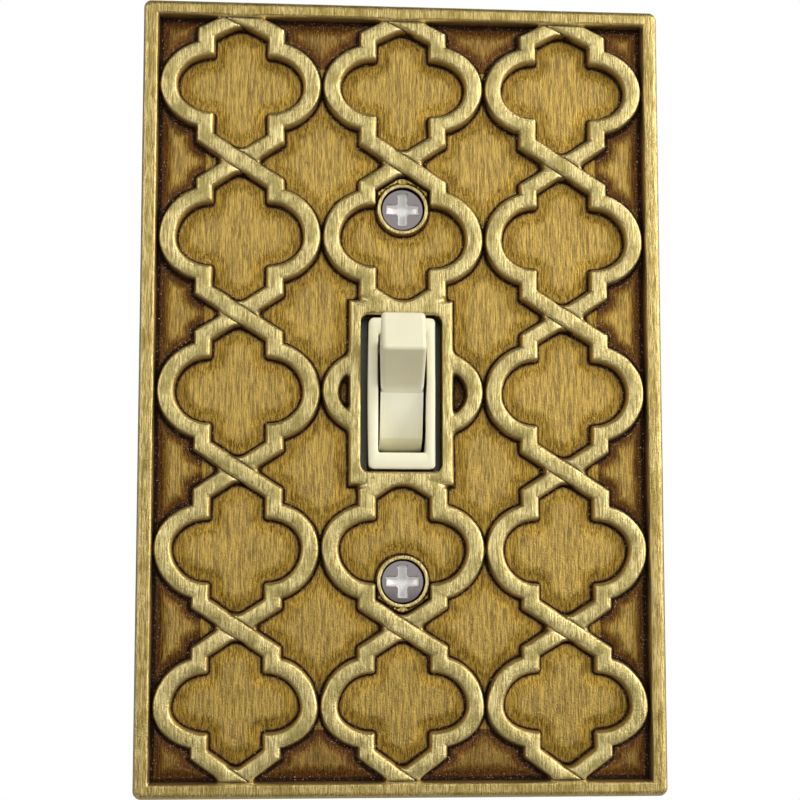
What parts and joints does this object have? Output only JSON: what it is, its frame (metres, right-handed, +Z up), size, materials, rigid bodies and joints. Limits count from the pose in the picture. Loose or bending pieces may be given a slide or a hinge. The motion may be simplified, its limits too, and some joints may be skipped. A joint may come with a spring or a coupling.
{
  "type": "wall plate cover",
  "caption": "Decorative raised-lattice metal wall plate over a toggle light switch, with cover screws, mounting strap and working contacts.",
  "frame": {"origin": "middle of the cover plate on the wall surface", "axes": "+X to the right seen from the room, +Z up, -Y out of the wall towards the room, +Y into the wall"},
  "size_m": [0.0844, 0.0424, 0.128],
  "materials": {
    "antique_brass": "antiqued, hand relieved",
    "cover_screws": "bright plated",
    "strap_steel": "zinc plated",
    "ivory_plastic": "satin",
    "ivory_lever": "satin",
    "spring_steel": "bright",
    "plunger_nylon": "matt",
    "rocker_brass": "stamped",
    "contact_silver": "silver",
    "terminal_brass": "stamped",
    "screw_brass": "bright",
    "ground_green": "green dyed plating",
    "black_phenolic": "moulded",
    "zinc_screws": "zinc plated",
    "red_fibre": "pressed fibre",
    "rivet_steel": "plated",
    "clip_bronze": "spring bronze"
  },
  "bodies": {
    "plate_and_switch": {"cover_plate": "antique_brass", "mounting_strap": "strap_steel", "switch_frame": "ivory_plastic", "switch_base": "black_phenolic", "fixed_contact": "contact_silver", "line_terminal": "terminal_brass", "load_terminal": "terminal_brass", "terminal_screws": "screw_brass", "ground_screw": "ground_green", "mounting_screws": "zinc_screws", "screw_retainers": "red_fibre", "assembly_rivets": "rivet_steel", "push_in_clips": "clip_bronze"},
    "toggle": {"toggle_lever": "ivory_lever", "plunger_spring": "spring_steel", "contact_plunger": "plunger_nylon"},
    "rocker": {"contact_rocker": "rocker_brass", "moving_contact": "contact_silver"},
    "upper_screw": {"upper_cover_screw": "cover_screws"},
    "lower_screw": {"lower_cover_screw": "cover_screws"}
  },
  "joints": [
    {"name": "toggle_flip", "type": "hinge", "parent": "plate_and_switch", "child": "toggle", "pos_m": [0, 0.003, 0], "axis": [1, 0, 0], "range_deg": [0, 46]},
    {"name": "rocker_tilt", "type": "hinge", "parent": "plate_and_switch", "child": "rocker", "pos_m": [0, 0.0176, 0], "axis": [1, 0, 0], "range_deg": [-14, 0]},
    {"name": "upper_screw_turn", "type": "hinge", "parent": "plate_and_switch", "child": "upper_screw", "pos_m": [0, 0, 0.03016], "axis": [0, 1, 0], "continuous": true},
    {"name": "lower_screw_turn", "type": "hinge", "parent": "plate_and_switch", "child": "lower_screw", "pos_m": [0, 0, -0.03016], "axis": [0, 1, 0], "continuous": true}
  ],
  "couplings": [
    {"joint": "rocker_tilt", "follows": "toggle_flip", "ratio": -0.30435}
  ]
}
